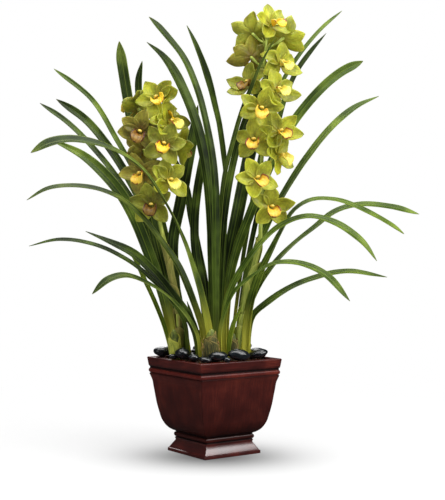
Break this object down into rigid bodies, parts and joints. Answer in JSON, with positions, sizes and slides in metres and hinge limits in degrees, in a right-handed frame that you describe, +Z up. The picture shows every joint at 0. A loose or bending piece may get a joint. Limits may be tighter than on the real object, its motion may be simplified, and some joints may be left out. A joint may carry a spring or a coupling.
{
  "type": "potted orchid",
  "caption": "Cymbidium orchid with arching strap leaves and lime-green flower spikes in a square mahogany-stained planter topped with black river pebbles.",
  "frame": {"origin": "centre of the plinth's flat underside, where the planter rests", "axes": "+Z up; the planter's four faces look along +X, -X, +Y and -Y; the picture is taken from azimuth -35 degrees, so its front corner is the -X -Y one"},
  "size_m": [0.7849, 0.6804, 0.9471],
  "materials": {
    "planter_wood": "mahogany stain under satin lacquer",
    "liner_plastic": "matt black vacuum-formed plastic",
    "potting_bark": "coarse damp bark chips, unfinished",
    "river_pebble": "black river stone, tumbled and waxed to a soft shine",
    "dry_fibre": "pale dry plant fibre, loose",
    "leaf_blade": "satin waxy leaf with fine lengthwise veins",
    "bulb_skin": "ribbed green stem base with dry papery sheaths",
    "flower_stalk": "smooth fleshy stalk, olive to yellow-green",
    "flower_tepal": "waxy lime-green petal with faint veins",
    "flower_lip": "yellow lip with dark red spots on its rim",
    "flower_column": "cream-yellow column, waxy"
  },
  "bodies": {
    "root": {"planter_plinth": "planter_wood", "planter_collar": "planter_wood", "planter_bowl": "planter_wood", "planter_rim": "planter_wood", "plastic_liner": "liner_plastic", "bark_mix": "potting_bark", "pebble_1": "river_pebble", "pebble_2": "river_pebble", "pebble_3": "river_pebble", "pebble_4": "river_pebble", "pebble_5": "river_pebble", "pebble_6": "river_pebble", "pebble_7": "river_pebble", "pebble_8": "river_pebble", "pebble_9": "river_pebble", "pebble_10": "river_pebble", "pebble_11": "river_pebble", "pebble_12": "river_pebble", "pebble_13": "river_pebble", "pebble_14": "river_pebble", "left_bulb": "bulb_skin", "middle_bulb": "bulb_skin", "right_bulb": "bulb_skin", "back_bulb": "bulb_skin", "fibre_tuft": "dry_fibre", "left_leaf_1": "leaf_blade", "left_leaf_2": "leaf_blade", "left_leaf_3": "leaf_blade", "left_leaf_4": "leaf_blade", "left_leaf_5": "leaf_blade", "left_leaf_6": "leaf_blade", "left_leaf_7": "leaf_blade", "left_leaf_8": "leaf_blade", "left_leaf_9": "leaf_blade", "left_leaf_10": "leaf_blade", "left_leaf_11": "leaf_blade", "middle_leaf_1": "leaf_blade", "middle_leaf_2": "leaf_blade", "middle_leaf_3": "leaf_blade", "middle_leaf_4": "leaf_blade", "middle_leaf_5": "leaf_blade", "middle_leaf_6": "leaf_blade", "middle_leaf_7": "leaf_blade", "middle_leaf_8": "leaf_blade", "middle_leaf_9": "leaf_blade", "middle_leaf_10": "leaf_blade", "middle_leaf_11": "leaf_blade", "right_leaf_1": "leaf_blade", "right_leaf_2": "leaf_blade", "right_leaf_3": "leaf_blade", "right_leaf_4": "leaf_blade", "right_leaf_5": "leaf_blade", "right_leaf_6": "leaf_blade", "right_leaf_7": "leaf_blade", "right_leaf_8": "leaf_blade", "right_leaf_9": "leaf_blade", "right_leaf_10": "leaf_blade", "left_flower_spike": "flower_tepal", "right_flower_spike": "flower_tepal"}
  },
  "joints": []
}
